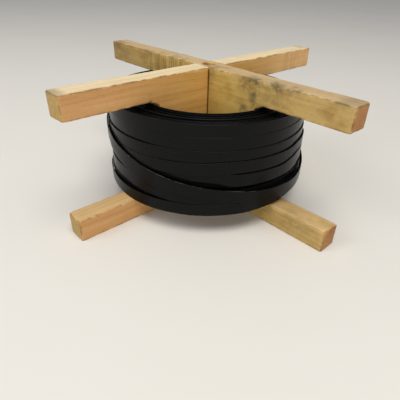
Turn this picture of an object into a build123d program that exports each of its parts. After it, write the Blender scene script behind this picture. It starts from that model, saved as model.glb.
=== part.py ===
from build123d import *

import os
from math import cos, hypot, radians, sin

# A surveyor's steel tape on its storage reel.
# Two wooden H boards halve into each other and make a four-armed cross. The tape is wound round the cross,
# between its upper and its lower arms. It isn't fixed to the wood, so the whole winding can turn on it.
# Units are millimetres. The origin is at the middle of the surface that the reel stands on, with +Z up,
# +X along the board whose slot is open at the top, and +Y along the other board.

# Boards: half-inch stock, eight inches long
board_length = 203.2
board_thickness = 12.7
reel_height = 83.4
upper_arm_height = 13.2
lower_arm_height = 13.5
web_width = 88.0
slot_clearance = 0.1
end_round = 0.6
spindle_radius = 3.97
shoulder_run = 6.2
shoulder_drop = 2.3

# Tape: a ribbon wound in levels. The lower ones lie on the lower arms and the upper ones are packed at the top,
# which leaves a gap between them
tape_width = 7.3
level_pitch = 7.35
tape_thickness = 0.45
lower_level_count = 2
upper_level_count = 5
coil_clearance = 0.3
coil_top = 67.6
inner_lap_radius = 45.25
pack_inner_radius = 46.0
pack_outer_radius = 63.0
bottom_lap_radius = 64.9
bottom_lap_lift = 0.3
bottom_lap_start = -30.0
lap_sweep = 350.0

# The loose outer lap lies in a tilted plane, lowest at one azimuth and highest opposite it
loose_lap_radius = 65.7
loose_lap_height = 37.4
loose_lap_rise = 15.6
loose_lap_lowest = -80.0
loose_lap_start = 84.0
loose_lap_sweep = 236.0

# End fittings: thin brass leaves riveted to the tape, and the ring in the outer one's rolled eye
leaf_thickness = 0.5
leaf_height = 6.4
leaf_sweep = 11.0
rivet_radius = 0.8
rivet_head_radius = 1.4
rivet_head_height = 0.45
rivet_head_round = 0.3
rivet_turns = (3.5, 8.5)
eye_turn = 2.5
eye_outer_radius = 1.75
eye_clearance = 0.06
ring_wire_radius = 1.0
ring_half_width = 5.5
ring_corner_radius = 2.0
ring_side_length = 2.5
inner_end_azimuth = 62.0
inner_tab_tail = 9.0
hook_hole_radius = 1.6
hook_hole_turn = 5.0

# Worked out from the sizes above
mid_height = reel_height / 2
upper_arm_underside = reel_height - upper_arm_height
web_height = upper_arm_underside - lower_arm_height
slot_width = board_thickness + 2 * slot_clearance
coil_bottom = lower_arm_height + coil_clearance
lowest_upper_level = coil_top - tape_width - (upper_level_count - 1) * level_pitch
level_bottoms = [coil_bottom + n * level_pitch for n in range(lower_level_count)]
level_bottoms += [lowest_upper_level + n * level_pitch for n in range(upper_level_count)]
inner_lap_bottom = level_bottoms[-1]
inner_lap_middle = inner_lap_bottom + tape_width / 2
outer_leaf_radius = loose_lap_radius + tape_thickness
outer_fitting_height = loose_lap_height + loose_lap_rise
outer_cut_radius = outer_leaf_radius + 2 * leaf_thickness
inner_leaf_radius = inner_lap_radius - leaf_thickness
rivet_hole_depth = 2 * (tape_thickness + leaf_thickness)
clip_start = loose_lap_start - eye_turn / 2
clip_sweep = leaf_sweep + eye_turn / 2
inner_rivets_start = inner_end_azimuth - sum(rivet_turns)
inner_tab_sweep = leaf_sweep + inner_tab_tail
eye_azimuth = loose_lap_start - eye_turn
eye_radius = outer_leaf_radius + leaf_thickness / 2

os.makedirs("parts", exist_ok=True)


def save(part, name):
    """Labels a finished piece and writes it to its own file."""
    part.label = name
    export_step(part, f"parts/{name}.step")


def outward(azimuth):
    """The level direction from the reel's axis at this azimuth, in degrees from +X."""
    return Vector(cos(radians(azimuth)), sin(radians(azimuth)), 0)


def facing_out(azimuth, radius, height):
    """A plane that faces away from the reel's axis, with its own X axis upwards."""
    origin = outward(azimuth) * radius + Vector(0, 0, height)
    return Plane(origin=origin, x_dir=(0, 0, 1), z_dir=outward(azimuth))


def band(inner_radius, thickness, start, sweep):
    """The plan of a bent strip: part of a ring, from azimuth start through sweep degrees."""
    outer_radius = inner_radius + thickness
    with BuildSketch() as plan:
        with BuildLine():
            CenterArc((0, 0), inner_radius, start, sweep)
            CenterArc((0, 0), outer_radius, start, sweep)
            Line(outward(start) * inner_radius, outward(start) * outer_radius)
            Line(outward(start + sweep) * inner_radius, outward(start + sweep) * outer_radius)
        make_face()
    return plan.sketch


def cut_rivet_holes(start, radius, height):
    """Cuts the two rivet holes of an end fitting, from this radius inwards."""
    for turn in rivet_turns:
        with Locations(facing_out(start + turn, radius, height)):
            Hole(rivet_radius, depth=rivet_hole_depth)


# ---- The two boards ----


def board_profile():
    """Draws the H outline: the lower arms, the web, the upper arms and the sloping shoulders under them."""
    with Locations((0, lower_arm_height / 2)):
        Rectangle(board_length, lower_arm_height)
    with Locations((0, lower_arm_height + web_height / 2)):
        Rectangle(web_width, web_height)
    with Locations((0, upper_arm_underside + upper_arm_height / 2)):
        Rectangle(board_length, upper_arm_height)
    for side in (-1, 1):
        web_edge = side * web_width / 2
        shoulder_end = side * (web_width / 2 + shoulder_run)
        shoulder_foot = upper_arm_underside - shoulder_drop
        corners = [(web_edge, upper_arm_underside), (shoulder_end, upper_arm_underside), (web_edge, shoulder_foot)]
        Polygon(*corners, align=None)


def finish_board(board, along):
    """Rounds the edges of the arms' ends and drills the spindle hole."""
    for end in (0, -1):
        ends = board.faces().filter_by(along).group_by(along)[end]
        fillet(ends.edges(), end_round)
    with Locations((0, 0, reel_height)):
        Hole(spindle_radius, depth=reel_height)


# The board along X: its slot is cut down from the top edge to half height
with BuildPart() as board_slot_up:
    with BuildSketch(Plane.XZ):
        board_profile()
        with Locations((0, mid_height + mid_height / 2)):
            Rectangle(slot_width, mid_height, mode=Mode.SUBTRACT)
    extrude(amount=board_thickness / 2, both=True)
    finish_board(board_slot_up, Axis.X)
save(board_slot_up.part, "board_slot_up")

# The board along Y: its slot is cut up from the bottom edge, so its top runs unbroken over the cross
with BuildPart() as board_slot_down:
    with BuildSketch(Plane.YZ):
        board_profile()
        with Locations((0, mid_height / 2)):
            Rectangle(slot_width, mid_height, mode=Mode.SUBTRACT)
    extrude(amount=board_thickness / 2, both=True)
    finish_board(board_slot_down, Axis.Y)
save(board_slot_down.part, "board_slot_down")


# ---- The tape's winding ----

# Most of the tape lies in levels, each a pack of turns laid one over the other
for number, level_bottom in enumerate(level_bottoms, start=1):
    with BuildPart() as tape_level:
        with BuildSketch(Plane.XY.offset(level_bottom)):
            Circle(pack_outer_radius)
            Circle(pack_inner_radius, mode=Mode.SUBTRACT)
        extrude(amount=tape_width)
    save(tape_level.part, f"tape_level_{number}")

# The innermost lap, inside the top level and riveted to the inner end's tab. The tape runs inwards with
# growing azimuth all the way, so this lap ends where the tab is
with BuildPart() as tape_inner_lap:
    with BuildSketch(Plane.XY.offset(inner_lap_bottom)):
        add(band(inner_lap_radius, tape_thickness, inner_end_azimuth - lap_sweep, lap_sweep))
    extrude(amount=tape_width)
    cut_rivet_holes(inner_rivets_start, pack_inner_radius, inner_lap_middle)
save(tape_inner_lap.part, "tape_inner_lap")

# The lap round the foot of the winding, just clear of the pack
with BuildPart() as tape_bottom_lap:
    with BuildSketch(Plane.XY.offset(coil_bottom + bottom_lap_lift)):
        add(band(bottom_lap_radius, tape_thickness, bottom_lap_start, lap_sweep))
    extrude(amount=tape_width)
save(tape_bottom_lap.part, "tape_bottom_lap")

# The loose outermost lap: an upright band cut along two tilted planes, a tape width apart
lap_slope = loose_lap_rise / loose_lap_radius
lap_normal = outward(loose_lap_lowest) * lap_slope + Vector(0, 0, 1)
lap_half_height = tape_width / 2 * hypot(lap_slope, 1)
lap_upper_edge = Plane(origin=(0, 0, loose_lap_height + lap_half_height), z_dir=lap_normal)
lap_lower_edge = Plane(origin=(0, 0, loose_lap_height - lap_half_height), z_dir=lap_normal)
with BuildPart() as tape_loose_lap:
    with BuildSketch(Plane.XY):
        add(band(loose_lap_radius, tape_thickness, loose_lap_start, loose_lap_sweep))
    extrude(amount=reel_height)
    split(bisect_by=lap_upper_edge, keep=Keep.BOTTOM)
    split(bisect_by=lap_lower_edge, keep=Keep.TOP)
    cut_rivet_holes(loose_lap_start, outer_cut_radius, outer_fitting_height)
save(tape_loose_lap.part, "tape_loose_lap")


# ---- The end fittings ----

# The outer end's clip: a leaf on the face of the tape, with its edge rolled into an upright eye
with BuildPart() as outer_end_clip:
    with BuildSketch(Plane.XY.offset(outer_fitting_height - leaf_height / 2)):
        add(band(outer_leaf_radius, leaf_thickness, clip_start, clip_sweep))
        with Locations(outward(eye_azimuth) * eye_radius):
            Circle(eye_outer_radius)
            Circle(ring_wire_radius + eye_clearance, mode=Mode.SUBTRACT)
    extrude(amount=leaf_height)
    cut_rivet_holes(loose_lap_start, outer_cut_radius, outer_fitting_height)
save(outer_end_clip.part, "outer_end_clip")

# The inner end's tab: a leaf inside the innermost lap, running on past the tape to its hook hole
with BuildPart() as inner_end_tab:
    with BuildSketch(Plane.XY.offset(inner_lap_middle - leaf_height / 2)):
        add(band(inner_leaf_radius, leaf_thickness, inner_end_azimuth - leaf_sweep, inner_tab_sweep))
    extrude(amount=leaf_height)
    cut_rivet_holes(inner_rivets_start, pack_inner_radius, inner_lap_middle)
    with Locations(facing_out(inner_end_azimuth + hook_hole_turn, pack_inner_radius, inner_lap_middle)):
        Hole(hook_hole_radius, depth=rivet_hole_depth)
save(inner_end_tab.part, "inner_end_tab")

# The outer rivets: flush inside the tape, with domed heads on the clip
with BuildPart() as outer_rivets:
    for turn in rivet_turns:
        azimuth = loose_lap_start + turn
        with BuildSketch(facing_out(azimuth, loose_lap_radius, outer_fitting_height)):
            Circle(rivet_radius)
        extrude(amount=tape_thickness + leaf_thickness)
        with BuildSketch(facing_out(azimuth, outer_leaf_radius + leaf_thickness, outer_fitting_height)):
            Circle(rivet_head_radius)
        head = extrude(amount=rivet_head_height)
        fillet(head.faces().sort_by(Axis((0, 0, 0), outward(azimuth)))[-1].edges(), rivet_head_round)
save(outer_rivets.part, "outer_rivets")

# The inner rivets: hammered flush on both sides, to pass the web's corners as the winding turns
with BuildPart() as inner_rivets:
    for turn in rivet_turns:
        with BuildSketch(facing_out(inner_rivets_start + turn, inner_leaf_radius, inner_lap_middle)):
            Circle(rivet_radius)
        extrude(amount=leaf_thickness + tape_thickness)
save(inner_rivets.part, "inner_rivets")

# The outer end's ring: round wire bent to a D, its straight leg upright in the eye
eye_centre = outward(eye_azimuth) * eye_radius + Vector(0, 0, outer_fitting_height)
leg_half_length = ring_half_width - ring_corner_radius
bow_centre = ring_corner_radius + ring_side_length
ring_plane = Plane(origin=eye_centre, x_dir=outward(eye_azimuth - 90), z_dir=-outward(eye_azimuth))
with BuildPart() as outer_end_ring:
    with BuildLine(ring_plane):
        Line((0, 0), (0, leg_half_length))
        CenterArc((ring_corner_radius, leg_half_length), ring_corner_radius, 180, -90)
        Line((ring_corner_radius, ring_half_width), (bow_centre, ring_half_width))
        CenterArc((bow_centre, 0), ring_half_width, 90, -180)
        Line((bow_centre, -ring_half_width), (ring_corner_radius, -ring_half_width))
        CenterArc((ring_corner_radius, -leg_half_length), ring_corner_radius, -90, -90)
        Line((0, -leg_half_length), (0, 0))
    with BuildSketch(Plane(origin=eye_centre, z_dir=(0, 0, 1))):
        Circle(ring_wire_radius)
    sweep()
save(outer_end_ring.part, "outer_end_ring")
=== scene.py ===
import math

import bmesh
import bpy
import numpy as np
from mathutils import Matrix, Vector


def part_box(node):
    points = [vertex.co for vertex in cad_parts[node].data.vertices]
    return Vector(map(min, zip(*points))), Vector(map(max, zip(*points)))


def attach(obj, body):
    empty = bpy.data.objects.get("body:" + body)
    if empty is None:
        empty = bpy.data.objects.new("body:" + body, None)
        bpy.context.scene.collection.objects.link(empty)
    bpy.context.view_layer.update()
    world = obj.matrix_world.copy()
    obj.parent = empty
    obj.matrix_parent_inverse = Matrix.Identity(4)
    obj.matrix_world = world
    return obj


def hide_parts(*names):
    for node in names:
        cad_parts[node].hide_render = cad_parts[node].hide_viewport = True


# A surveyor's steel tape on its wooden storage reel: two worn H boards halved into a cross, one long
# ribbon of black enamelled steel wound round them, and the small fittings at its ends.
# The meshes are worked out in millimetres and made in metres. Azimuths are in degrees, from +X towards +Y.

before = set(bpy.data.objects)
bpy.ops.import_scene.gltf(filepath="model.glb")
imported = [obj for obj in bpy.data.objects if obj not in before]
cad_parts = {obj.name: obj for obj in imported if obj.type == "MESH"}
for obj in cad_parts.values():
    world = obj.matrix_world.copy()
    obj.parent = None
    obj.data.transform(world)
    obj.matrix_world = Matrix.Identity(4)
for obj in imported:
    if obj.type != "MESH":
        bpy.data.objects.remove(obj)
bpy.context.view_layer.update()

MM = 0.001

# Boards, in millimetres. Each one is made along its own X axis, with its thickness along Y
BOARD_LENGTH = (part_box("board_slot_up")[1].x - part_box("board_slot_up")[0].x) / MM
BOARD_THICKNESS = (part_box("board_slot_up")[1].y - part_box("board_slot_up")[0].y) / MM
REEL_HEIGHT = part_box("board_slot_up")[1].z / MM
LOWER_ARM_TOP = 13.5
UPPER_ARM_BOTTOM = 70.2
WEB_HALF_WIDTH = 44.0
SHOULDER_RUN = 6.2
SHOULDER_DROP = 2.3
SLOT_HALF_WIDTH = BOARD_THICKNESS / 2 + 0.1
SPINDLE_RADIUS = 3.97
GRID_STEP = 1.4
EDGE_STEPS = (0.22, 0.55, 1.05, 1.8, 2.8)
ON_PLANE = 1e-6
EDGE_RADIUS = 0.62
CHIPS_PER_BOARD = 34

# Tape, in millimetres
TAPE_WIDTH = 7.27
TAPE_THICKNESS = 0.45
TAPE_CHAMFER = 0.1
LEVELS = 7
TURNS_PER_LEVEL = 21
STEPS_PER_TURN = 76
STEP = 360 / STEPS_PER_TURN
LEVEL_MIDDLES = [
    (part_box(f"tape_level_{n + 1}")[0].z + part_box(f"tape_level_{n + 1}")[1].z) / 2 / MM for n in range(LEVELS)
]
PACK_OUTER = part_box("tape_level_1")[1].x / MM - TAPE_THICKNESS / 2
PACK_INNER = 46.0 + TAPE_THICKNESS / 2
INNER_LAP_RADIUS = 45.25 + TAPE_THICKNESS / 2
INNER_END_AZIMUTH = 62.0
PACK_START_AZIMUTH = 15

# The ramps between levels: where they start, the degrees that each part takes and their room beside the pack
INNER_RAMP_START = 150.0
OUTER_RAMP_START = -48.0
RAMP_SIDESTEP = 20
RAMP_CLIMB = 80
INNER_RAMP_ROOM = 0.35
OUTER_RAMP_ROOM = 0.45

# The two loose laps: each tilted plane's middle height, how far it rises and falls, and its lowest azimuth
LOOSE_LAP_HEIGHT = 37.4
LOOSE_LAP_RISE = 15.6
LOOSE_LAP_LOWEST = -80.0
SECOND_LAP_HEIGHT = 38.9
SECOND_LAP_RISE = 12.8
SECOND_LAP_LOWEST = -98.0
OUTER_END_AZIMUTH = 84.0
LOOSE_LAPS_END = 652.0
# where the first lap's plane passes into the second's, and where the second drops behind the first
CHANGE_START, CHANGE_SWEEP = 290, 75
DROP, DROP_START, DROP_SWEEP = 4.5, 570, 35

# The lap at the foot, on from the loose laps: (azimuth, out, up) from its own radius and height
BOTTOM_LAP_RADIUS = 64.9 + TAPE_THICKNESS / 2
BOTTOM_LAP_HEIGHT = LEVEL_MIDDLES[0] + 0.25
BOTTOM_LAP = (
    (20, 0.2, 0.0), (155, -0.3, -0.45), (-166, 0.6, -0.45), (-146, 0.1, -0.45), (-118, 0.0, 0.0),
    (-96, 0.0, 1.0), (-80, 0.0, 2.4), (-25, 0.0, 0.0),
)

# How far the winding's turns wander, in millimetres and for the tilt in degrees, and the seeds of the noises
RADIUS_WANDER = 0.2
HEIGHT_WANDER = 0.05
TILT_WANDER = 0.9
OUT_OF_ROUND = 0.15
TOP_SAG = 0.55
TOP_SUNK = 1.3
RADIUS_SEED, HEIGHT_SEED, WAVE_SEED, RIPPLE_SEED, SUNK_SEED, TILT_SEED = 31, 47, 53, 59, 61, 71
HOLE_SEED = 5

# The large odd multipliers that scramble a grid cell's numbers in the noise
HASH_X, HASH_Y, HASH_Z, HASH_SEED, HASH_MIX = 73856093, 19349663, 83492791, 2654435761, 1274126177


# ---- Small helpers ----


def smooth(t):
    """0 below 0, 1 above 1, and a smooth rise between."""
    t = np.clip(t, 0, 1)
    return t * t * (3 - 2 * t)


def noise(points, seed):
    """Smooth value noise from -1 to 1, with features about one unit long, at an array of 3-D points."""
    cell = np.floor(points).astype(np.int64)
    part = points - cell
    part = part * part * (3 - 2 * part)
    total = np.zeros(len(points))
    for corner in np.ndindex(2, 2, 2):
        at = cell + corner
        code = at[:, 0] * HASH_X ^ at[:, 1] * HASH_Y ^ at[:, 2] * HASH_Z ^ seed * HASH_SEED
        code = (code ^ (code >> 13)) * HASH_MIX & 0xFFFFFFFF
        value = ((code ^ (code >> 16)) & 0xFFFF) / 32767.5 - 1
        share = np.where(np.array(corner) == 1, part, 1 - part).prod(axis=1)
        total += value * share
    return total


def noise_1d(x, seed):
    """Smooth value noise from -1 to 1 along one line."""
    x = np.asarray(x, float)
    points = np.stack([x, np.full_like(x, 0.5), np.full_like(x, 0.5)], axis=-1)
    return noise(points.reshape(-1, 3), seed).reshape(x.shape)


def make_mesh(name, points_mm, faces):
    """A smooth-shaded mesh object from points in millimetres."""
    mesh = bpy.data.meshes.new(name)
    mesh.from_pydata((points_mm * MM).tolist(), [], faces.tolist())
    mesh.validate()
    mesh.shade_smooth()
    piece = bpy.data.objects.new(name, mesh)
    bpy.context.scene.collection.objects.link(piece)
    return piece


def set_attribute(piece, name, values):
    """Stores one number for each vertex, for the material to read."""
    attribute = piece.data.attributes.new(name, "FLOAT", "POINT")
    attribute.data.foreach_set("value", np.asarray(values, np.float32))


def points_of(piece):
    """A mesh's vertices as an array, in millimetres."""
    co = np.zeros(len(piece.data.vertices) * 3, np.float32)
    piece.data.vertices.foreach_get("co", co)
    return co.reshape(-1, 3).astype(float) / MM


# ---- Materials ----


class Nodes:
    """A short way to write a material's nodes."""

    def __init__(self, name):
        self.material = bpy.data.materials.new(name)
        self.material.use_nodes = True
        self.tree = self.material.node_tree
        self.shader = self.tree.nodes["Principled BSDF"]

    def add(self, kind, inputs=None, **settings):
        """Adds a node. An input is a number, a colour or another node's output."""
        node = self.tree.nodes.new(kind)
        for key, value in settings.items():
            setattr(node, key, value)
        for key, value in (inputs or {}).items():
            self.put(node.inputs[key], value)
        return node

    def put(self, socket, value):
        if isinstance(value, bpy.types.NodeSocket):
            self.tree.links.new(value, socket)
        else:
            socket.default_value = value

    def attribute(self, name):
        return self.add("ShaderNodeAttribute", attribute_name=name).outputs["Fac"]

    def math(self, operation, a, b=0.0):
        node = self.add("ShaderNodeMath", operation=operation)
        self.put(node.inputs[0], a)
        self.put(node.inputs[1], b)
        return node.outputs[0]

    def times(self, a, b):
        return self.math("MULTIPLY", a, b)

    def plus(self, a, b):
        return self.math("ADD", a, b)

    def noise(self, vector, scale, detail, roughness):
        inputs = {"Vector": vector, "Scale": scale, "Detail": detail, "Roughness": roughness}
        return self.add("ShaderNodeTexNoise", inputs).outputs["Fac"]

    def stretch(self, vector, scale, move=(0, 0, 0)):
        return self.add("ShaderNodeMapping", {"Vector": vector, "Scale": scale, "Location": move}).outputs[0]

    def remap(self, value, low, high, to_low=0.0, to_high=1.0):
        inputs = {"Value": value, "From Min": low, "From Max": high, "To Min": to_low, "To Max": to_high}
        node = self.add("ShaderNodeMapRange", inputs, interpolation_type="SMOOTHSTEP")
        return node.outputs["Result"]

    def mix(self, share, a, b, blend="MIX"):
        node = self.add("ShaderNodeMix", data_type="RGBA", blend_type=blend)
        self.put(node.inputs["Factor"], share)
        self.put(node.inputs[6], a)
        self.put(node.inputs[7], b)
        return node.outputs[2]

    def bump(self, height, distance, strength):
        inputs = {"Height": height, "Distance": distance, "Strength": strength}
        return self.add("ShaderNodeBump", inputs).outputs[0]


def srgb(red, green, blue):
    """A colour given as the eye sees it, from 0 to 255, made linear for the shader."""
    parts = (red, green, blue)
    linear = [((c / 255 + 0.055) / 1.055) ** 2.4 if c > 10 else c / 255 / 12.92 for c in parts]
    return (*linear, 1.0)


def wood(name, side, far_side, core, top, low_top_painted_light, end, pith, seed, stain, patchy, saw_marks):
    """Sawn softwood. Its grain is a solid pattern of growth rings about a pith line along the board.

    side and far_side colour the sides at the board's two ends, and core colours them near the cross: a brighter
    golden tone, partly the wood's own and partly painted light over the shade under the upper arms.
    top and low_top_painted_light colour the upper and lower arms' tops. pith is the pith line's place across the
    board, patchy how blotchy the wood is and saw_marks how strongly the saw shows.
    """
    ring_spacing = 0.0031
    ring_bend = 0.009
    saw_waves = 2900
    n = Nodes(name)
    place = n.add("ShaderNodeTexCoord").outputs["Object"]
    normal = n.add("ShaderNodeTexCoord").outputs["Normal"]
    facing = n.add("ShaderNodeSeparateXYZ", {"Vector": normal})
    to_end = n.remap(n.math("ABSOLUTE", facing.outputs["X"]), 0.5, 0.9)
    to_top = n.remap(n.math("ABSOLUTE", facing.outputs["Z"]), 0.4, 0.9)
    moved = n.stretch(place, (1, 1, 1), (seed * 0.37, seed * 0.11, seed * 0.23))
    where = n.add("ShaderNodeSeparateXYZ", {"Vector": place})
    along = where.outputs["X"]
    outer = n.remap(n.math("ABSOLUTE", along), 0.01, 0.085)

    # growth rings: distance from the pith line, bent a little along the board
    slow = n.stretch(moved, (9, 40, 40))
    wander = n.add("ShaderNodeTexNoise", {"Vector": slow, "Scale": 1.0, "Detail": 2.0}).outputs["Color"]
    wavy = n.add("ShaderNodeVectorMath", {0: wander, "Scale": ring_bend}, operation="SCALE")
    bent = n.add("ShaderNodeVectorMath", {0: place, 1: wavy.outputs[0]}, operation="ADD")
    split = n.add("ShaderNodeSeparateXYZ", {"Vector": bent.outputs[0]})
    across = n.math("SUBTRACT", split.outputs["Y"], pith[0] * MM)
    above = n.math("SUBTRACT", split.outputs["Z"], pith[1] * MM)
    distance = n.math("SQRT", n.plus(n.times(across, across), n.times(above, above)))
    ring = n.math("FRACT", n.math("DIVIDE", distance, ring_spacing))
    late = n.remap(ring, 0.3, 0.9)
    late = n.times(late, n.remap(ring, 1.0, 0.93))

    fibre = n.noise(n.stretch(moved, (20, 1300, 1300)), 1.0, 3.0, 0.65)
    streak = n.noise(n.stretch(moved, (9, 330, 330)), 1.0, 4.0, 0.6)
    cloud = n.noise(n.stretch(moved, (45, 70, 70)), 1.0, 5.0, 0.6)
    blotch = n.noise(n.stretch(moved, (1, 1.6, 1.3)), 190.0, 6.0, 0.68)
    mottle = n.noise(moved, 700.0, 3.0, 0.65)
    drift = n.noise(n.stretch(moved, (12, 30, 30)), 1.0, 2.0, 0.5)

    # near the cross the sides take the core colour: partly the wood's own golden tone, partly painted light over
    # the shade the upper arms cast on the web
    color = n.mix(outer, core, n.mix(n.remap(along, -0.01, 0.05), side, far_side))
    # the lower arms' tops take their own top colour, painted lighter or darker for the light under the reel:
    # painted light and shade
    color = n.mix(to_top, color, n.mix(n.remap(where.outputs["Z"], 0.03, 0.05), low_top_painted_light, top))
    color = n.mix(to_end, color, end)
    ring_share = n.times(late, n.remap(drift, 0.4, 0.62, 0.01, 0.09))
    color = n.mix(ring_share, color, srgb(160, 104, 56), "MULTIPLY")
    color = n.mix(n.remap(streak, 0.48, 0.66, 0.0, 0.11), color, srgb(208, 172, 122), "MULTIPLY")
    color = n.mix(n.remap(streak, 0.46, 0.3, 0.0, 0.09), color, srgb(242, 216, 170))
    color = n.mix(n.remap(fibre, 0.5, 0.72, 0.0, 0.22), color, srgb(186, 142, 92), "MULTIPLY")
    color = n.mix(n.remap(cloud, 0.5, 0.68, 0.0, patchy), color, srgb(186, 160, 106), "MULTIPLY")
    speckle = n.remap(mottle, 0.58, 0.76, 0.0, 0.25 + 0.3 * patchy)
    color = n.mix(speckle, color, srgb(168, 134, 88), "MULTIPLY")

    # the saw's marks stand across the board
    wave = n.math("SINE", n.plus(n.times(along, saw_waves), n.times(drift, 9)))
    saw = n.noise(n.stretch(moved, (330, 26, 26)), 1.0, 3.0, 0.6)
    saw = n.plus(n.times(saw, 1.3), n.times(wave, 0.1))
    marked = n.times(n.remap(saw, 0.56, 0.9), n.attribute("saw_marks"))
    color = n.mix(n.times(marked, saw_marks), color, srgb(118, 92, 58), "MULTIPLY")
    lit = n.times(n.remap(saw, 0.66, 0.5), n.attribute("saw_marks"))
    color = n.mix(n.times(lit, saw_marks * 0.5), color, srgb(222, 198, 140))

    # mould and dirt that have soaked in where the attribute says
    stained = n.attribute("stained")
    soaked = n.times(stained, n.remap(blotch, 0.36, 0.6, 0.0, 1.1))
    soaked = n.plus(soaked, n.times(n.times(stained, stained), 0.22))
    spots = n.times(n.remap(blotch, 0.63, 0.72), 0.5 * patchy)
    soaked = n.plus(soaked, n.times(spots, n.math("SUBTRACT", 1.0, to_top)))
    color = n.mix(n.math("MINIMUM", n.times(soaked, 0.8), 0.85), color, stain)

    # edges are dirty in a thin ragged line and rubbed pale in places; the corner of the joint is dark
    edge = n.attribute("edge")
    patch = n.noise(n.stretch(moved, (1, 2, 2)), 150.0, 5.0, 0.7)
    dirty = n.times(n.math("POWER", edge, 2.2), n.remap(patch, 0.44, 0.56))
    pale = n.times(edge, n.remap(patch, 0.46, 0.34))
    color = n.mix(n.times(dirty, 0.62), color, srgb(98, 72, 42))
    color = n.mix(n.times(pale, 0.35), color, srgb(232, 208, 164))
    color = n.mix(n.times(n.attribute("bruise"), 0.5), color, srgb(116, 84, 52))
    color = n.mix(n.times(n.attribute("joint"), 0.9), color, srgb(74, 50, 24))
    color = n.mix(n.times(n.attribute("grime"), n.remap(cloud, 0.3, 0.6, 0.45, 1.0)), color, stain)

    n.put(n.shader.inputs["Base Color"], color)
    n.put(n.shader.inputs["Roughness"], n.remap(streak, 0.3, 0.7, 0.66, 0.8))
    n.shader.inputs["Specular IOR Level"].default_value = 0.25
    relief = n.plus(n.times(fibre, 0.7), n.times(late, 0.12))
    relief = n.plus(relief, n.times(marked, -0.6))
    relief = n.plus(relief, n.times(mottle, n.times(to_end, 1.4)))
    n.put(n.shader.inputs["Normal"], n.bump(relief, 0.0002, 0.9))
    return n.material


def enamel(name):
    """Black enamel on steel ribbon: glossy, a little wavy, with faint lengthwise scuffs and edges rubbed to bare
    steel in dashes, pale marks that are also painted highlights along the edges.
    """
    n = Nodes(name)
    place = n.add("ShaderNodeTexCoord").outputs["Object"]
    along = n.attribute("along")
    over = n.attribute("across")
    run = n.add("ShaderNodeCombineXYZ", {"X": along, "Y": over}).outputs[0]
    scuff = n.noise(n.stretch(run, (18, 1800, 1)), 1.0, 4.0, 0.65)
    patch = n.noise(n.stretch(run, (28, 60, 1)), 1.0, 3.0, 0.6)
    dust = n.noise(place, 900.0, 2.0, 0.6)
    edge = n.attribute("edge")
    color = n.mix(n.remap(patch, 0.35, 0.7), srgb(10, 11, 12), srgb(13, 13, 14))
    color = n.mix(n.remap(scuff, 0.62, 0.8, 0.0, 0.3), color, srgb(42, 41, 39))
    # the free end is handled more, and its pale edges also stand in as a painted highlight along the loose lap's
    # top edge
    handled_and_highlit_end = n.remap(along, 0.34, 0.24)
    rub_and_highlight = n.plus(n.noise(n.stretch(run, (60, 1, 1)), 1.0, 5.0, 0.75), n.times(handled_and_highlit_end, 0.16))
    rubbed_and_highlit = n.times(edge, n.remap(rub_and_highlight, 0.62, 0.74))
    # rubbed edges: bare steel where worn, and painted highlight along the edges
    color = n.mix(n.times(rubbed_and_highlit, 0.45), color, srgb(112, 112, 110))
    n.put(n.shader.inputs["Base Color"], color)
    gloss = n.remap(patch, 0.3, 0.75, 0.22, 0.34)
    gloss = n.plus(gloss, n.remap(scuff, 0.55, 0.8, 0.0, 0.14))
    gloss = n.plus(gloss, n.remap(dust, 0.6, 0.85, 0.0, 0.1))
    gloss = n.plus(gloss, n.times(edge, 0.35))
    n.put(n.shader.inputs["Roughness"], gloss)
    n.shader.inputs["Specular IOR Level"].default_value = 0.12
    n.put(n.shader.inputs["Normal"], n.bump(patch, 0.00006, 0.5))
    return n.material


def metal(name, bright, dull, roughness):
    """Tarnished plain metal."""
    n = Nodes(name)
    place = n.add("ShaderNodeTexCoord").outputs["Object"]
    tarnish = n.noise(place, 420.0, 5.0, 0.65)
    scratch = n.noise(n.stretch(place, (300, 300, 4200)), 1.0, 2.0, 0.6)
    color = n.mix(n.remap(tarnish, 0.38, 0.66), bright, dull)
    n.put(n.shader.inputs["Base Color"], color)
    n.shader.inputs["Metallic"].default_value = 1.0
    n.put(n.shader.inputs["Roughness"], n.remap(tarnish, 0.35, 0.7, roughness, roughness + 0.22))
    n.put(n.shader.inputs["Normal"], n.bump(scratch, 0.00003, 0.6))
    return n.material


def plain(name, light, dark):
    """The floor: pale, matt and very slightly uneven."""
    n = Nodes(name)
    place = n.add("ShaderNodeTexCoord").outputs["Object"]
    cloud = n.noise(place, 6.0, 4.0, 0.5)
    n.put(n.shader.inputs["Base Color"], n.mix(cloud, light, dark))
    n.shader.inputs["Roughness"].default_value = 0.85
    return n.material


# ---- The boards ----


def grid_lines(breaks):
    """Grid positions through all the breaks, closer together beside each break."""
    *fine, reach = EDGE_STEPS
    found = []
    for low, high in zip(breaks, breaks[1:]):
        count = max(1, round((high - low - 2 * reach) / GRID_STEP))
        found += [low] + [low + f for f in fine]
        found += list(np.linspace(low + reach, high - reach, count + 1))
        found += [high - f for f in reversed(fine)]
    return np.array(found + [breaks[-1]])


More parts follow.
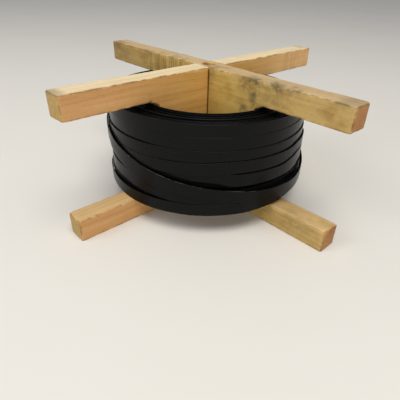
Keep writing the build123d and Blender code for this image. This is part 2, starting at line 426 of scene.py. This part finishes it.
def skin_of_cells(xs, ys, zs, filled):
    """The closed skin of a grid's filled cells, as points and quads that face outwards."""
    lines = (xs, ys, zs)
    shape = tuple(len(line) for line in lines)
    room = np.pad(filled, 1)
    quads = []
    for axis in range(3):
        for side in (0, 1):
            beyond = np.roll(room, 1 - 2 * side, axis)[1:-1, 1:-1, 1:-1]
            cells = np.stack(np.nonzero(filled & ~beyond), axis=1)
            corners = []
            loop = ((0, 0), (1, 0), (1, 1), (0, 1)) if side else ((0, 0), (0, 1), (1, 1), (1, 0))
            for b, c in loop:
                at = cells.copy()
                at[:, axis] += side
                at[:, (axis + 1) % 3] += b
                at[:, (axis + 2) % 3] += c
                corners.append(np.ravel_multi_index(at.T, shape))
            quads.append(np.stack(corners, axis=1))
    used, faces = np.unique(np.concatenate(quads), return_inverse=True)
    i, j, k = np.unravel_index(used, shape)
    return np.stack([xs[i], ys[j], zs[k]], axis=1), faces.reshape(-1, 4)


def h_board(slot_from_top):
    """The sharp-edged H board with its slot, as points and quads."""
    middle = REEL_HEIGHT / 2
    breaks = (SLOT_HALF_WIDTH, WEB_HALF_WIDTH, WEB_HALF_WIDTH + SHOULDER_RUN, BOARD_LENGTH / 2)
    xs = grid_lines([*(-x for x in reversed(breaks)), *breaks])
    ys = grid_lines((-BOARD_THICKNESS / 2, BOARD_THICKNESS / 2))
    zs = grid_lines((0, LOWER_ARM_TOP, middle, UPPER_ARM_BOTTOM, REEL_HEIGHT))
    x = ((xs[1:] + xs[:-1]) / 2)[:, None, None]
    z = ((zs[1:] + zs[:-1]) / 2)[None, None, :]
    wood_here = (z < LOWER_ARM_TOP) | (z > UPPER_ARM_BOTTOM) | (abs(x) < WEB_HALF_WIDTH)
    in_slot = (abs(x) < SLOT_HALF_WIDTH) & ((z > middle) if slot_from_top else (z < middle))
    filled = np.broadcast_to(wood_here & ~in_slot, (len(xs) - 1, len(ys) - 1, len(zs) - 1))
    return skin_of_cells(xs, ys, zs, filled)


def slope_shoulders(p, sharp):
    """Draws the upper arms' undersides down to the web in a slope. sharp is where each point started.

    The slope fades out over a height of fade above the underside, and its foot takes up reach of the web.
    """
    fade = 7.0
    reach = 4.0
    x, _, z = sharp.T
    beyond = abs(x) > WEB_HALF_WIDTH - ON_PLANE
    slope = np.clip((WEB_HALF_WIDTH + SHOULDER_RUN - abs(x)) / SHOULDER_RUN, 0, 1)
    above = 1 - smooth((z - UPPER_ARM_BOTTOM) / fade)
    drop = np.where(beyond & (z > UPPER_ARM_BOTTOM - ON_PLANE), SHOULDER_DROP * slope * above, 0)
    share = np.clip((z - UPPER_ARM_BOTTOM + reach) / reach, 0, 1)
    drop = np.where(beyond & (z < UPPER_ARM_BOTTOM - ON_PLANE), SHOULDER_DROP * share, drop)
    drop = np.where(z < UPPER_ARM_BOTTOM - reach, 0, drop)
    return p - drop[:, None] * np.array([0, 0, 1])


def edge_radius(p, seed, wanes):
    """How far each vertex's own edge is worn round."""
    x, y, z = p.T
    upper = z > REEL_HEIGHT / 2
    top = np.where(upper, z > (UPPER_ARM_BOTTOM + REEL_HEIGHT) / 2, z > LOWER_ARM_TOP / 2)
    edge_number = upper * 4 + top * 2 + (y > 0)
    lines = np.stack([x / 9, edge_number * 7.0 + 0.5, np.full_like(x, 0.5)], axis=1)
    radius = EDGE_RADIUS + 0.22 * noise(lines, seed) + 0.12 * noise(lines * (4, 1, 1), seed + 1)
    for arm, side, at_top, start, end, worn in wanes:
        here = (upper == (arm == "upper")) & ((y > 0) == (side > 0)) & (top == at_top)
        inside = smooth((x - start) / 5) * smooth((end - x) / 5)
        uneven = 1 + 0.3 * noise(lines * (1.6, 1, 1), seed + 2) + 0.2 * noise(lines * (5, 1, 1), seed + 3)
        radius = np.where(here, radius + worn * inside * uneven, radius)
    ends = smooth((abs(x) - BOARD_LENGTH / 2 + 3) / 3)
    radius = radius * (1 + 0.6 * ends * (1 + noise(lines * (0.1, 1, 1), seed + 4)))
    # the arms' inner edges die away where they run into the web
    inner = np.where(upper, ~top, top)
    free = smooth((abs(x) - WEB_HALF_WIDTH) / 2.5)
    return np.where(inner, radius * free, radius)


def round_box(p, centre, half, radius):
    """Moves points on a box's faces onto the same box with rounded edges."""
    q = p - centre
    core = np.clip(q, -(half - radius[:, None]), half - radius[:, None])
    away = q - core
    length = np.linalg.norm(away, axis=1)
    outside = length > 1e-9
    away[outside] *= (radius[outside] / length[outside])[:, None]
    return np.where(outside[:, None], centre + core + away, p)


def wear(p, seed, wanes):
    """Rounds the board's edges and makes its faces a little uneven."""
    z = p[:, 2]
    radius = edge_radius(p, seed, wanes)
    half_y = BOARD_THICKNESS / 2
    worn = p.copy()
    for low, high in ((0, LOWER_ARM_TOP), (UPPER_ARM_BOTTOM, REEL_HEIGHT)):
        here = (z >= low) & (z <= high)
        centre = np.array([0, 0, (low + high) / 2])
        half = np.array([BOARD_LENGTH / 2, half_y, (high - low) / 2])
        worn[here] = round_box(p[here], centre, half, radius[here])
    web = (z > LOWER_ARM_TOP) & (z < UPPER_ARM_BOTTOM)
    free = smooth(np.minimum(z - LOWER_ARM_TOP, UPPER_ARM_BOTTOM - z) / 2.5)
    centre = np.array([0, 0, REEL_HEIGHT / 2])
    half = np.array([WEB_HALF_WIDTH, half_y, REEL_HEIGHT])
    worn[web] = round_box(p[web], centre, half, 0.9 * free[web])
    # long waves, dents and a fine roughness
    for size, amount in ((16.0, 0.16), (4.5, 0.07), (1.6, 0.035)):
        for axis in range(3):
            shift = amount * noise(p / (size * 2.5, size, size), seed + 10 * axis + int(size))
            worn[:, axis] += shift * (0.4 if axis == 0 else 1.0)
    return worn


def chip_edges(p, seed):
    """Knocks small chips out of the arms' long edges. Returns the points and how bruised each one is."""
    random = np.random.default_rng(seed)
    bruise = np.zeros(len(p))
    for _ in range(CHIPS_PER_BOARD):
        side = random.choice((-1, 1))
        height = random.choice((0, LOWER_ARM_TOP, UPPER_ARM_BOTTOM, REEL_HEIGHT))
        at_web = height in (LOWER_ARM_TOP, UPPER_ARM_BOTTOM)
        reach = random.uniform(WEB_HALF_WIDTH + 5 if at_web else 10, BOARD_LENGTH / 2 - 1)
        centre = np.array([reach * random.choice((-1, 1)), side * BOARD_THICKNESS / 2, height])
        size = np.array([random.uniform(1.2, 3.4), random.uniform(0.8, 1.5), random.uniform(0.8, 1.5)])
        depth = random.uniform(0.25, 0.7)
        near = np.linalg.norm((p - centre) / size, axis=1)
        dent = smooth(1 - near)
        inward = np.array([0, -side, 1 if height in (0, UPPER_ARM_BOTTOM) else -1]) / math.sqrt(2)
        p = p + dent[:, None] * depth * inward
        bruise = np.maximum(bruise, dent)
    return p, bruise


def drill_spindle_hole(piece):
    """Cuts the spindle hole, a little flared and rough at its mouths."""
    flare = ((-2.0, 1.2), (-0.1, 0.5), (0.5, 0.12), (1.6, 0.0))
    rings = [(z, SPINDLE_RADIUS + more) for z, more in flare]
    rings += [(REEL_HEIGHT - z, SPINDLE_RADIUS + more) for z, more in reversed(flare)]
    sides = 48
    angle = np.arange(sides) * 2 * math.pi / sides
    points = []
    for z, radius in rings:
        rough = radius + 0.07 * noise_1d(angle * 4 + z, HOLE_SEED)
        points.append(np.stack([rough * np.cos(angle), rough * np.sin(angle), np.full(sides, z)], axis=1))
    cutter_mesh = bpy.data.meshes.new("drill")
    bm = bmesh.new()
    loops = [[bm.verts.new(Vector(co) * MM) for co in ring] for ring in points]
    for low, high in zip(loops, loops[1:]):
        for i in range(sides):
            j = (i + 1) % sides
            bm.faces.new((low[i], low[j], high[j], high[i]))
    bm.faces.new(reversed(loops[0]))
    bm.faces.new(loops[-1])
    bm.to_mesh(cutter_mesh)
    bm.free()
    cutter = bpy.data.objects.new("drill", cutter_mesh)
    bpy.context.scene.collection.objects.link(cutter)
    cut = piece.modifiers.new("spindle hole", "BOOLEAN")
    cut.object = cutter
    cut.solver = "EXACT"
    graph = bpy.context.evaluated_depsgraph_get()
    drilled = bpy.data.meshes.new_from_object(piece.evaluated_get(graph))
    piece.modifiers.clear()
    piece.data = drilled
    bpy.data.objects.remove(cutter)


def mark_surface(piece, blots, sawn, grimy):
    """Stores what the wood material reads: nearness to an edge, dirt, and where the saw marks show."""
    p = points_of(piece)
    x, y, z = p.T
    half_y = BOARD_THICKNESS / 2
    far = 99.0
    to_side = half_y - abs(y)
    free = abs(x) > WEB_HALF_WIDTH + 0.5
    sloping = np.clip((WEB_HALF_WIDTH + SHOULDER_RUN - abs(x)) / SHOULDER_RUN, 0, 1)
    underside = UPPER_ARM_BOTTOM - SHOULDER_DROP * sloping
    to_level = np.where(free, np.minimum(abs(z - LOWER_ARM_TOP), abs(z - underside)), far)
    to_level = np.minimum.reduce([to_level, abs(z), abs(z - REEL_HEIGHT)])
    to_end = BOARD_LENGTH / 2 - abs(x)
    reach = np.sort(np.stack([to_side, to_level, to_end]), axis=0)[1]
    edge = smooth(1.3 - reach / 1.1)
    stained = np.zeros(len(p))
    for blot_x, blot_z, side, wide, tall, strength in blots:
        near = np.hypot((x - blot_x) / wide, (z - blot_z) / tall)
        stained = np.maximum(stained, strength * smooth((1.5 - near) / 1.3) * (y * side > 0))
    marks = np.zeros(len(p))
    for start, end, side in sawn:
        marks = np.maximum(marks, smooth((x - start) / 8) * smooth((end - x) / 8) * (y * side > 0))
    # dark where the other board meets this one, and a dirty skin on the tops of some arms' ends
    joint = smooth(1.15 - (abs(x) - SLOT_HALF_WIDTH) / 0.7) * (abs(y) > half_y - 0.5) * (z < REEL_HEIGHT - 1)
    grime = np.zeros(len(p))
    for start, end, strength in grimy:
        along = smooth((x - start) / 6) * smooth((end - x) / 6)
        grime = np.maximum(grime, strength * along * smooth((z - REEL_HEIGHT + 1.6) / 1.2))
    surface = {"edge": edge, "stained": stained, "saw_marks": marks, "joint": joint, "grime": grime}
    for name, values in surface.items():
        set_attribute(piece, name, values)


def board(name, node, slot_from_top, turn, material, seed, wanes, blots, sawn, grimy):
    """One H board, made along its own X axis and turned into place.

    Its wear and dirt are lists, in millimetres along the board and up it. A side is 1 at +Y and -1 at -Y.
    wanes are worse worn edges: (arm, side, whether at the arm's top, start, end, added radius).
    blots are stains on a side: (x, z, side, width, height, strength). sawn is where saw marks show:
    (start, end, side). grimy is where the upper arms' tops are dirty: (start, end, strength).
    """
    sharp, faces = h_board(slot_from_top)
    points = slope_shoulders(wear(sharp, seed, wanes), sharp)
    points, bruise = chip_edges(points, seed)
    piece = make_mesh(name, points, faces)
    set_attribute(piece, "bruise", bruise)
    drill_spindle_hole(piece)
    mark_surface(piece, blots, sawn, grimy)
    piece.data.materials.clear()
    piece.data.materials.append(material)
    piece.matrix_world = Matrix.Rotation(math.radians(turn), 4, "Z")
    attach(piece, "cross")
    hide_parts(node)


# ---- The tape ----


def around(azimuths, keys):
    """Smooth values round the winding through (azimuth, value, ...) keys, as one column for each value."""
    keys = sorted(keys)
    first, last = keys[0], keys[-1]
    full = [(last[0] - 360, *last[1:]), *keys, (first[0] + 360, *first[1:])]
    wrapped = (azimuths - first[0]) % 360 + first[0]
    columns = []
    for column in range(1, len(first)):
        value = np.zeros_like(wrapped)
        for a, b in zip(full, full[1:]):
            here = (wrapped >= a[0]) & (wrapped <= b[0])
            share = smooth((wrapped[here] - a[0]) / (b[0] - a[0]))
            value[here] = a[column] + (b[column] - a[column]) * share
        columns.append(value)
    return columns


# How far each level's turns lean towards the left of the reel, in millimetres at the outermost turn
LEANS = (0.0, 1.0, -0.2, -0.35, 0.25, 1.0, 1.05)
LEAN_AZIMUTH = 140.0

# How the outermost strand of each level lies, from the foot up: (azimuth, proud of the pack, lift, tilt).
# A tilt above zero leans the strand's top inwards. All the strands lie flat round the far side
OUTER_STRANDS = (
    ((-205, 1.2, 2.3, 0), (-165, 0.9, 1.2, 0), (-134, 0.0, 0.0, 0)),
    (
        (-205, 0.1, 3.2, 0), (-186, 0.3, 2.8, 2), (-165, 0.9, 0.9, 5), (-148, 1.65, -0.05, 8),
        (-122, 1.75, -0.15, 8), (-104, 0.2, -0.1, 0), (-84, 0.2, 0.0, 0), (-68, 1.3, 0.6, 0),
        (-58, 1.6, 1.0, 0),
    ),
    (
        (-205, -0.3, 4.2, 0), (-160, 0.1, 4.6, 0), (-146, 0.15, 3.7, 0), (-134, 0.15, 3.4, 0),
        (-127.5, 0.3, 2.6, 0), (-120, 1.4, 0.75, 0), (-90, 1.6, 0.75, 0), (-82, 1.6, 1.9, 0),
        (-73, 1.4, 3.4, 0),
    ),
    (
        (-205, 1.6, 0.0, 0), (-175, 1.6, 0.0, 0), (-157, 1.1, 0.0, 0), (-137, 0.85, 0.3, 0),
        (-127.5, 0.9, 1.0, 0), (-120, 0.6, 1.2, 0), (-83, 0.5, 1.2, 0), (-75, 0.4, 2.2, 0),
        (-60, 0.3, 2.2, 0),
    ),
    (
        (-205, 0.9, -0.2, 0), (-170, 0.9, -0.1, 0), (-152, 0.35, 0.0, 0), (-100, 0.35, 0.0, 0),
        (-75, 0.4, 0.35, 0), (-60, 0.35, 0.5, 0),
    ),
    ((-205, -0.35, 0.45, 0), (-172, -0.3, 0.35, 0), (-150, 0.0, 0.05, 0), (-75, -0.05, -0.05, 0)),
    (
        (-205, 0.05, 0.36, 0), (-167, 0.1, 0.3, 0), (-151, 0.07, 0.0, 0), (-137, 0.05, -0.14, 0),
        (-80, 0.0, -0.14, 0),
    ),
)
FAR_SIDE = ((-40, 0.0, 0.0, 0), (100, 0.0, 0.0, 0))


def level_strand(level, start, end, inwards):
    """One level's turns from azimuth start on, spiralling inwards or outwards to the azimuth end.

    place counts the turns from the inside out. Returns azimuths, radii, heights and tilts.
    """
    sweep = (end - start) % 360 + 360 * (TURNS_PER_LEVEL - 1)
    steps = round(sweep / STEP)
    share = np.arange(steps + 1) / steps
    azimuths = start + share * sweep
    place = TURNS_PER_LEVEL * (1 - share if inwards else share)
    depth = place / TURNS_PER_LEVEL
    edge_fade = smooth(place / 2) * smooth((TURNS_PER_LEVEL - place) / 2)
    radii = PACK_INNER + (PACK_OUTER - PACK_INNER) * depth
    radii += RADIUS_WANDER * noise_1d(place / 2.3 + level * 13, RADIUS_SEED) * edge_fade
    radii += LEANS[level] * np.cos(np.radians(azimuths - LEAN_AZIMUTH)) * depth
    radii += OUT_OF_ROUND * np.cos(np.radians(3 * azimuths - 75)) * depth * edge_fade
    heights = LEVEL_MIDDLES[level] + HEIGHT_WANDER * noise_1d(place / 1.7, HEIGHT_SEED)
    if level == LEVELS - 1:
        # the top sags, and most of its turns have sunk between a few that stand up
        waves = 0.3 * noise_1d(place / 3.6 + 3, WAVE_SEED) + 0.18 * noise_1d(place / 1.4, RIPPLE_SEED)
        heights += waves * edge_fade
        heights -= TOP_SAG * smooth(place / 4) * smooth((TURNS_PER_LEVEL - place) / 9)
        heights -= TOP_SUNK * smooth((noise_1d(place / 1.5, SUNK_SEED) + 0.35) / 0.3) * edge_fade
    proud, lift, tilt = around(azimuths, OUTER_STRANDS[level] + FAR_SIDE)
    proud_share = smooth((place - TURNS_PER_LEVEL + 3.2) / 1.6)
    lift_share = smooth((place - TURNS_PER_LEVEL + 1.5) / 0.75)
    tilts = tilt * lift_share + TILT_WANDER * noise_1d(azimuths / 200, TILT_SEED)
    return azimuths, radii + proud * proud_share, heights + lift * lift_share, tilts


def ramp(last, sweep, radius, height):
    """A smooth passage from the last point to this radius and height, without its first point."""
    steps = max(2, round(sweep / STEP))
    share = np.arange(1, steps + 1) / steps
    azimuth, last_radius, last_height, last_tilt = last
    eased = smooth(share)
    radii = last_radius + (radius - last_radius) * eased
    heights = last_height + (height - last_height) * eased
    return azimuth + share * sweep, radii, heights, last_tilt * (1 - eased)


def tilted_lap(azimuths, height, rise, lowest):
    """Heights of a lap that lies in a tilted plane."""
    return height - rise * np.cos(np.radians(azimuths - lowest))


# The two loose laps' radius, from the tape's outer end on, as (azimuth, millimetres)
LOOSE_RADII = (
    (84, 65.92), (120, 65.5), (155, 65.15), (190, 65.1), (226, 65.45), (255, 65.75), (280, 65.92),
    (300, 65.6), (360, 64.2), (420, 63.6), (480, 63.8), (515, 64.6), (560, 64.65), (578, 64.8), (600, 65.0),
    (618, 64.4), (652, 64.5),
)
# How far the loose laps leave their tilted planes: (azimuth, millimetres)
LOOSE_SAG = (
    (84, 0.0), (140, -0.4), (155, -0.8), (173, -0.9), (188, -1.5), (203, -1.3), (216, -0.5), (224, -0.1),
    (237, 0.8), (255, 0.5), (270, 0.3), (285, 0.0), (360, 0.0),
)
SAG_SMOOTHING = (1 / 9, 2 / 9, 3 / 9, 2 / 9, 1 / 9)


def loose_laps():
    """The two outermost laps, from the outer end: each near a tilted plane, the second inside the first."""
    azimuths = np.arange(OUTER_END_AZIMUTH, LOOSE_LAPS_END, STEP)
    first = tilted_lap(azimuths, LOOSE_LAP_HEIGHT, LOOSE_LAP_RISE, LOOSE_LAP_LOWEST)
    second = tilted_lap(azimuths, SECOND_LAP_HEIGHT, SECOND_LAP_RISE, SECOND_LAP_LOWEST)
    second -= DROP * smooth((azimuths - DROP_START) / DROP_SWEEP)
    heights = first + (second - first) * smooth((azimuths - CHANGE_START) / CHANGE_SWEEP)
    sag = np.pad(np.interp(azimuths % 360, *zip(*LOOSE_SAG)), len(SAG_SMOOTHING) // 2, mode="edge")
    heights += np.convolve(sag, SAG_SMOOTHING, mode="valid")
    radii = np.interp(azimuths, *zip(*LOOSE_RADII))
    return azimuths, radii, heights, np.zeros_like(radii)


def tape_route():
    """The whole tape from its outer end to its inner end, as azimuths, radii, heights and tilts."""
    parts = [loose_laps()]

    def last():
        return [column[-1] for column in parts[-1]]

    def go(sweep, radius, height):
        parts.append(ramp(last(), sweep, radius, height))

    def go_to(azimuth, radius, height):
        go((azimuth - last()[0]) % 360, radius, height)

    for azimuth, out, up in BOTTOM_LAP:
        go_to(azimuth, BOTTOM_LAP_RADIUS + out, BOTTOM_LAP_HEIGHT + up)
    go_to(PACK_START_AZIMUTH, PACK_OUTER, LEVEL_MIDDLES[0])
    for level in range(LEVELS):
        inwards = level % 2 == 0
        end = INNER_RAMP_START if inwards else OUTER_RAMP_START
        turns = level_strand(level, last()[0], end, inwards)
        parts.append([column[1:] for column in turns])
        if level < LEVELS - 1:
            aside = PACK_INNER - INNER_RAMP_ROOM if inwards else PACK_OUTER + OUTER_RAMP_ROOM
            onward = PACK_INNER if inwards else PACK_OUTER
            go(RAMP_SIDESTEP, aside, LEVEL_MIDDLES[level])
            go(RAMP_CLIMB, aside, LEVEL_MIDDLES[level + 1])
            go(RAMP_SIDESTEP, onward, LEVEL_MIDDLES[level + 1])
    go_to(INNER_END_AZIMUTH, INNER_LAP_RADIUS, LEVEL_MIDDLES[-1])
    return [np.concatenate(column) for column in zip(*parts)]


def ribbon(name, azimuths, radii, heights, tilts):
    """A ribbon with rounded edges along a route round the reel's axis."""
    tilt = np.radians(tilts)
    thick = TAPE_THICKNESS / 2
    wide = TAPE_WIDTH / 2
    thin = thick - TAPE_CHAMFER
    narrow = wide - TAPE_CHAMFER
    outline = np.array([
        (thick, -narrow), (thick, narrow), (thin, wide), (-thin, wide),
        (-thick, narrow), (-thick, -narrow), (-thin, -wide), (thin, -wide),
    ])
    angle = np.radians(azimuths)
    run = np.gradient(angle) * radii
    slope = np.gradient(heights) / run
    taller = np.hypot(1, slope)
    count = len(outline)
    points = []
    for out, up in outline:
        radius = radii + out * np.cos(tilt) - up * np.sin(tilt)
        height = heights + (up * np.cos(tilt) + out * np.sin(tilt)) * taller
        points.append(np.stack([radius * np.cos(angle), radius * np.sin(angle), height], axis=1))
    points = np.stack(points, axis=1).reshape(-1, 3)
    first = np.arange(len(azimuths) - 1)[:, None] * count
    corner = np.arange(count)[None, :]
    following = (corner + 1) % count
    beyond = first + count
    faces = np.stack([first + corner, beyond + corner, beyond + following, first + following], axis=2)
    piece = make_mesh(name, points, faces.reshape(-1, 4))
    bm = bmesh.new()
    bm.from_mesh(piece.data)
    ends = [e for e in bm.edges if e.is_boundary]
    bmesh.ops.holes_fill(bm, edges=ends, sides=0)
    bmesh.ops.recalc_face_normals(bm, faces=bm.faces)
    bm.to_mesh(piece.data)
    bm.free()
    # the ribbon shades smoothly along its length and flat across it
    pairs = np.zeros(len(piece.data.edges) * 2, np.int32)
    piece.data.edges.foreach_get("vertices", pairs)
    section = pairs.reshape(-1, 2) // count
    sharp = piece.data.attributes.new("sharp_edge", "BOOLEAN", "EDGE")
    sharp.data.foreach_set("value", section[:, 0] != section[:, 1])
    length = np.concatenate([[0], np.cumsum(np.hypot(run, np.gradient(heights)))[1:]]) * MM
    set_attribute(piece, "along", np.repeat(length, count))
    set_attribute(piece, "across", np.tile(outline[:, 1] * MM, len(azimuths)))
    at_edge = (abs(outline[:, 1]) > (wide + narrow) / 2).astype(float)
    set_attribute(piece, "edge", np.tile(at_edge, len(azimuths)))
    return piece


def steel_tape(material):
    """The whole tape as one ribbon, in place of all the CAD rings and laps that stand for it."""
    piece = ribbon("steel_tape", *tape_route())
    piece.data.materials.append(material)
    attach(piece, "winding")
    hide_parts(*[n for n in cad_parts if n.startswith("tape_")])


# ---- The end fittings stay as the CAD made them, with better surfaces ----


def dress(node, material):
    """Gives a CAD piece its material."""
    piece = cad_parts[node]
    piece.data.materials.clear()
    piece.data.materials.append(material)


# ---- Room, light and camera ----


def floor():
    """A large pale floor."""
    half = 3.0
    mesh = bpy.data.meshes.new("floor")
    corners = [(-half, -half, 0), (half, -half, 0), (half, half, 0), (-half, half, 0)]
    mesh.from_pydata(corners, [], [(0, 1, 2, 3)])
    piece = bpy.data.objects.new("floor", mesh)
    bpy.context.scene.collection.objects.link(piece)
    mesh.materials.append(plain("floor_paint", srgb(226, 222, 214), srgb(218, 214, 205)))


def area_light(name, place, target, size, power, color, mirrored=True):
    """A rectangular light that faces its target. mirrored says whether shiny surfaces reflect it."""
    light = bpy.data.lights.new(name, "AREA")
    light.shape = "RECTANGLE"
    light.size, light.size_y = size
    light.energy = power
    light.color = color
    lamp = bpy.data.objects.new(name, light)
    bpy.context.scene.collection.objects.link(lamp)
    lamp.location = place
    lamp.rotation_euler = (Vector(target) - Vector(place)).to_track_quat("-Z", "Y").to_euler()
    lamp.visible_glossy = mirrored


def lights():
    """A ceiling light, a window's light from the left and the pale room's bounce."""
    area_light(
        "ceiling_light", (-0.25, -0.45, 1.25), (0, 0, 0.05),
        size=(0.9, 0.6), power=11.0, color=(1.0, 0.97, 0.92),
    )
    area_light(
        "room_bounce", (-0.95, -1.0, 0.42), (0, 0, 0.04),
        size=(0.9, 0.7), power=5.0, color=(1.0, 0.97, 0.93), mirrored=False,
    )
    area_light(
        "side_light", (-0.95, 0.35, 0.8), (0, 0, 0.05),
        size=(0.6, 0.6), power=4.0, color=(0.93, 0.96, 1.0),
    )
    world = bpy.data.worlds.new("room")
    world.use_nodes = True
    background = world.node_tree.nodes["Background"]
    background.inputs["Color"].default_value = (0.93, 0.95, 1.0, 1.0)
    background.inputs["Strength"].default_value = 0.42
    bpy.context.scene.world = world


def camera():
    """The photograph's viewing place: a little above the reel and close to it."""
    lens = bpy.data.cameras.new("camera")
    lens.lens = 33.35
    lens.sensor_width = 36.0
    lens.clip_start = 0.01
    eye = bpy.data.objects.new("camera", lens)
    bpy.context.scene.collection.objects.link(eye)
    place = (-0.16747, -0.17103, 0.13472)
    heading, pitch, roll = (math.radians(a) for a in (46.34, 32.33, 1.77))
    turn = Matrix.Rotation(heading - math.pi / 2, 4, "Z")
    turn = turn @ Matrix.Rotation(math.pi / 2 - pitch, 4, "X") @ Matrix.Rotation(roll, 4, "Z")
    eye.matrix_world = Matrix.Translation(place) @ turn
    bpy.context.scene.camera = eye


# ---- The whole scene ----

pale_wood = wood(
    "pale_pine_wood",
    # core is brighter than the sides: partly painted light over the shade under the upper arms
    side=srgb(198, 151, 98), far_side=srgb(212, 170, 114), core=srgb(212, 163, 88),
    # the lower arms' top colour here is painted shade, darker than the tops for the reel above them
    top=srgb(224, 205, 165), low_top_painted_light=srgb(202, 168, 116), end=srgb(176, 146, 90),
    stain=srgb(128, 106, 76), pith=(-38.0, 30.0), seed=1, patchy=0.12, saw_marks=0.22,
)
weathered_wood = wood(
    "weathered_pine_wood",
    # core is brighter than the sides: partly painted light over the shade under the upper arms
    side=srgb(184, 155, 96), far_side=srgb(162, 134, 80), core=srgb(204, 170, 90),
    # the lower arms' top colour here is painted light, brighter than the tops against the reel's shade
    top=srgb(194, 168, 124), low_top_painted_light=srgb(202, 171, 117), end=srgb(168, 121, 75),
    stain=srgb(92, 84, 58), pith=(26.0, -34.0), seed=2, patchy=0.5, saw_marks=0.42,
)
board(
    "slotted_board_pale", "board_slot_up", slot_from_top=True, turn=0.0,
    material=pale_wood, seed=11,
    wanes=(
        ("lower", -1, True, -94, -72, 1.6), ("upper", -1, True, -110, -99, 1.0),
        ("upper", -1, False, -110, -99, 1.2),
    ),
    blots=(),
    sawn=((66, 100, -1),),
    grimy=((-110, -94, 0.55), (92, 110, 0.4)),
)
board(
    "slotted_board_weathered", "board_slot_down", slot_from_top=False, turn=90.0,
    material=weathered_wood, seed=23,
    wanes=(
        ("lower", 1, True, -110, -44, 1.7), ("upper", 1, True, -110, -99, 0.9),
        ("upper", 1, False, -110, -99, 0.8),
    ),
    blots=(
        (-42, 81, 1, 6, 4, 1.0), (-35, 79, 1, 5, 4, 0.75), (-42, 74, 1, 3, 7, 0.9),
        (-35, 67, 1, 5, 4, 0.75), (-56, 82, 1, 6, 3.5, 0.95), (-67, 83, 1, 6, 3, 0.6),
        (-8, 80, 1, 5, 4, 0.5), (-47, 69, 1, 3, 2.5, 0.6), (-50, 78, 1, 14, 7, 0.4),
        (93, 78, 1, 10, 7, 0.45), (-58, 10, 1, 14, 5, 0.4), (-84, 10, 1, 14, 4, 0.35),
        (-72, 4, 1, 20, 3, 0.25),
    ),
    sawn=((12, 58, 1),),
    grimy=((-110, -88, 0.5),),
)
black = enamel("black_enamel")
steel_tape(black)
brass = metal("fitting_brass", srgb(196, 160, 96), srgb(120, 92, 52), 0.3)
steel = metal("ring_steel", srgb(190, 188, 182), srgb(120, 118, 112), 0.24)
for fitting in ("outer_end_clip", "outer_rivets", "inner_end_tab", "inner_rivets"):
    dress(fitting, brass)
dress("outer_end_ring", steel)

floor()
lights()
camera()
bpy.context.scene.view_settings.view_transform = "Standard"
